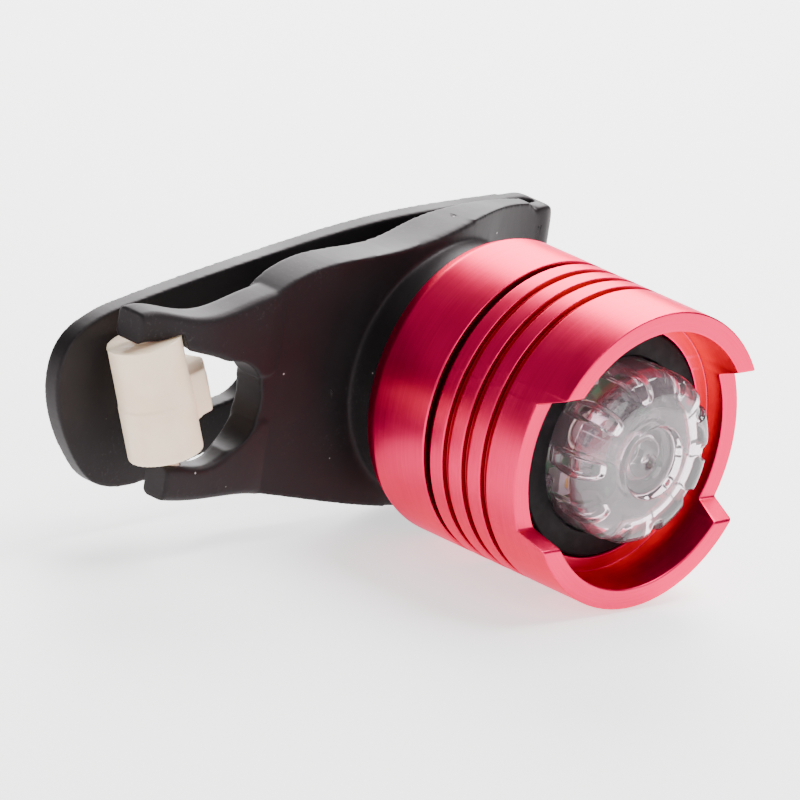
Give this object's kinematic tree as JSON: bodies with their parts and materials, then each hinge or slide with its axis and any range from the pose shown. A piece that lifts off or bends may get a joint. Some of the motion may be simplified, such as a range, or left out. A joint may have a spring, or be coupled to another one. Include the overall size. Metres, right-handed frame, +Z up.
{
  "type": "bicycle tail light",
  "caption": "Round anodised bicycle tail light with a push lens, on a silicone seat-post mount whose strap folds back and hooks on a nylon hook.",
  "frame": {"origin": "middle of the mount's saddle, where it rests on the seat post", "axes": "+X along the mount towards the strap's fold, -Y the way the lamp shines, +Z up the seat post"},
  "size_m": [0.0658, 0.0452, 0.032],
  "materials": {
    "anodised_red": "satin anodised",
    "silicone_black": "matt moulded silicone",
    "rubber_black": "satin rubber",
    "nylon_ivory": "moulded nylon",
    "lens_clear": "polished polycarbonate",
    "board_green": "solder mask",
    "part_white": "moulded",
    "phosphor_yellow": "resin",
    "part_black": "moulded",
    "resistor_grey": "glazed ceramic",
    "steel": "zinc plated",
    "cell_steel": "nickel plated can",
    "contact_nickel": "nickel plated spring sheet"
  },
  "bodies": {
    "mount": {"mount_body": "silicone_black", "strap_bend": "silicone_black"},
    "strap": {"strap": "silicone_black"},
    "hook": {"hook": "nylon_ivory"},
    "lamp": {"rear_cup": "anodised_red", "mount_stud": "part_black", "stud_screw": "steel", "waist_seal": "rubber_black", "battery_tray": "part_black", "coin_cells": "cell_steel", "rear_contact": "contact_nickel", "front_contact": "contact_nickel", "cell_cover": "part_black", "circuit_board": "board_green", "board_screws": "steel", "led_cases": "part_white", "led_eyes": "phosphor_yellow", "switch_case": "part_black", "driver_chip": "part_black", "chip_resistors": "resistor_grey"},
    "plunger": {"switch_plunger": "part_white"},
    "insert": {"clamp_ring": "part_black", "lens_collar": "rubber_black"},
    "lens": {"lens": "lens_clear"},
    "bezel": {"front_bezel": "anodised_red"}
  },
  "joints": [
    {"name": "strap_swing", "type": "hinge", "parent": "mount", "child": "strap", "pos_m": [0.0262, 0.00275, 0], "axis": [0, 0, -1], "range_deg": [0, 150], "deforming": ["strap_bend"]},
    {"name": "hook_turn", "type": "hinge", "parent": "mount", "child": "hook", "pos_m": [-0.0284, -0.0009, 0.0005], "axis": [-0.2559, 0.1896, 0.9479], "range_deg": [-15, 20]},
    {"name": "lamp_roll", "type": "hinge", "parent": "mount", "child": "lamp", "pos_m": [0.01, -0.0087, 0], "axis": [0, -1, 0], "continuous": true},
    {"name": "bezel_lift", "type": "slide", "parent": "lamp", "child": "insert", "axis": [0, -1, 0], "range_m": [0, 0.003]},
    {"name": "bezel_turn", "type": "hinge", "parent": "insert", "child": "bezel", "pos_m": [0.01, -0.0087, 0], "axis": [0, -1, 0], "range_deg": [0, 1080]},
    {"name": "lens_press", "type": "slide", "parent": "insert", "child": "lens", "axis": [0, 1, 0], "range_m": [0, 0.0008], "stiffness_N_per_m": 1500},
    {"name": "plunger_press", "type": "slide", "parent": "lamp", "child": "plunger", "axis": [0, 1, 0], "range_m": [0, 0.0008]}
  ],
  "couplings": [
    {"joint": "bezel_turn", "follows": "bezel_lift", "rad_per_m": 6283.2},
    {"joint": "plunger_press", "follows": "lens_press", "ratio": 1}
  ]
}
